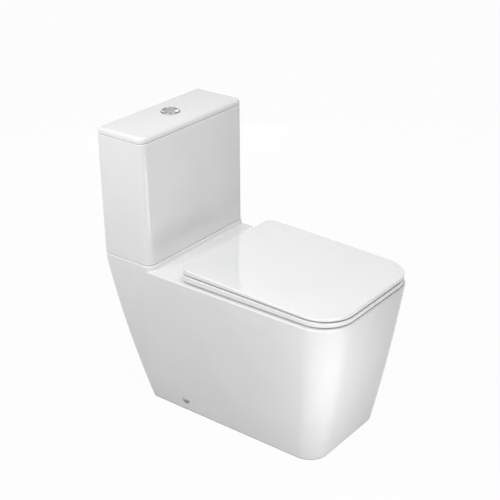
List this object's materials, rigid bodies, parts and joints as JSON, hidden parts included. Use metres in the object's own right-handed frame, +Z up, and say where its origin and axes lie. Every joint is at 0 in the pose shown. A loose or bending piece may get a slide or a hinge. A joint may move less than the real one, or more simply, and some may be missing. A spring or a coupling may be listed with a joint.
{
  "type": "close coupled toilet",
  "caption": "Floor-standing close coupled toilet: tapered glazed pan, bolted cistern with a split flush button, hinged seat ring and lid, and working flush and fill valves.",
  "frame": {"origin": "on the floor, under the middle of the object's bounding box", "axes": "+Z up; the front of the pan faces -Y and the back of the cistern, on the wall, faces +Y; +X is the right-hand side for someone standing in front and looking at it"},
  "size_m": [0.3828, 0.678, 0.7425],
  "materials": {
    "ceramic_glaze": "gloss glaze",
    "seat_plastic": "gloss moulded",
    "chrome": "polished plating",
    "steel": "zinc plated",
    "buffer_rubber": "soft matt",
    "seal_rubber": "matt",
    "white_nylon": "moulded",
    "valve_plastic": "moulded",
    "lever_plastic": "moulded",
    "float_plastic": "moulded"
  },
  "bodies": {
    "root": {"pan": "ceramic_glaze", "pan_bowl": "ceramic_glaze", "pan_duct": "ceramic_glaze", "pan_trapway": "ceramic_glaze", "cistern": "ceramic_glaze", "cistern_lid": "ceramic_glaze", "button_bezel": "chrome", "side_caps": "chrome", "hinge_post_left": "chrome", "hinge_post_right": "chrome", "hinge_pin_left": "steel", "hinge_pin_right": "steel", "hinge_studs": "steel", "cistern_bolts": "steel", "full_lever_pin": "steel", "half_lever_pin": "steel", "float_arm_pin": "steel", "side_screws": "steel", "hinge_washers": "seal_rubber", "cistern_washers": "seal_rubber", "valve_gasket": "seal_rubber", "coupling_washer": "seal_rubber", "fill_gasket": "seal_rubber", "hinge_wing_nuts": "white_nylon", "cistern_wing_nuts": "white_nylon", "button_nut": "white_nylon", "valve_backnut": "white_nylon", "fill_backnut": "white_nylon", "floor_brackets": "white_nylon", "valve_base": "valve_plastic", "valve_cage": "valve_plastic", "valve_tower": "valve_plastic", "valve_head": "valve_plastic", "fill_shank": "valve_plastic", "fill_head": "valve_plastic"},
    "ring": {"seat_ring": "seat_plastic", "ring_buffers": "buffer_rubber"},
    "lid": {"seat_lid": "seat_plastic", "lid_lugs": "seat_plastic", "lid_buffers": "buffer_rubber"},
    "full_button": {"button_full": "chrome", "full_push_rod": "lever_plastic"},
    "half_button": {"button_half": "chrome", "half_push_rod": "lever_plastic"},
    "full_lever": {"full_lever": "lever_plastic"},
    "half_lever": {"half_lever": "lever_plastic"},
    "flush_valve": {"overflow_tube": "valve_plastic", "lift_frame": "valve_plastic", "valve_seal": "seal_rubber"},
    "half_flush": {"half_flush_rod": "valve_plastic"},
    "float": {"fill_float": "float_plastic"},
    "float_arm": {"float_arm": "lever_plastic"}
  },
  "joints": [
    {"name": "ring_hinge", "type": "hinge", "parent": "root", "child": "ring", "pos_m": [0, 0.096, 0.407], "axis": [-1, 0, 0], "range_deg": [0, 95]},
    {"name": "lid_hinge", "type": "hinge", "parent": "ring", "child": "lid", "pos_m": [0, 0.096, 0.407], "axis": [1, 0, 0], "range_deg": [-100, 0]},
    {"name": "full_button_press", "type": "slide", "parent": "root", "child": "full_button", "axis": [0, 0, -1], "range_m": [0, 0.006], "stiffness_N_per_m": 200, "springref_m": -0.005},
    {"name": "half_button_press", "type": "slide", "parent": "root", "child": "half_button", "axis": [0, 0, -1], "range_m": [0, 0.006], "stiffness_N_per_m": 200, "springref_m": -0.005},
    {"name": "full_lever_turn", "type": "hinge", "parent": "root", "child": "full_lever", "pos_m": [0.024, 0.275, 0.6666], "axis": [0, 1, 0], "range_deg": [-27, 0]},
    {"name": "half_lever_turn", "type": "hinge", "parent": "root", "child": "half_lever", "pos_m": [-0.024, 0.275, 0.6666], "axis": [0, 1, 0], "range_deg": [0, 27]},
    {"name": "flush_valve_lift", "type": "slide", "parent": "root", "child": "flush_valve", "axis": [0, 0, 1], "range_m": [0, 0.0091]},
    {"name": "half_flush_lift", "type": "slide", "parent": "root", "child": "half_flush", "axis": [0, 0, 1], "range_m": [0, 0.0091]},
    {"name": "float_rise", "type": "slide", "parent": "root", "child": "float", "axis": [0, 0, 1], "range_m": [0, 0.01]},
    {"name": "float_arm_turn", "type": "hinge", "parent": "root", "child": "float_arm", "pos_m": [0.128, 0.275, 0.6646], "axis": [0, 1, 0], "range_deg": [0, 19.4]}
  ],
  "couplings": [
    {"joint": "full_lever_turn", "follows": "full_button_press", "rad_per_m": -76.923},
    {"joint": "flush_valve_lift", "follows": "full_button_press", "ratio": 1.5},
    {"joint": "half_lever_turn", "follows": "half_button_press", "rad_per_m": 76.923},
    {"joint": "half_flush_lift", "follows": "half_button_press", "ratio": 1.5},
    {"joint": "float_arm_turn", "follows": "float_rise", "rad_per_m": 33.333}
  ]
}
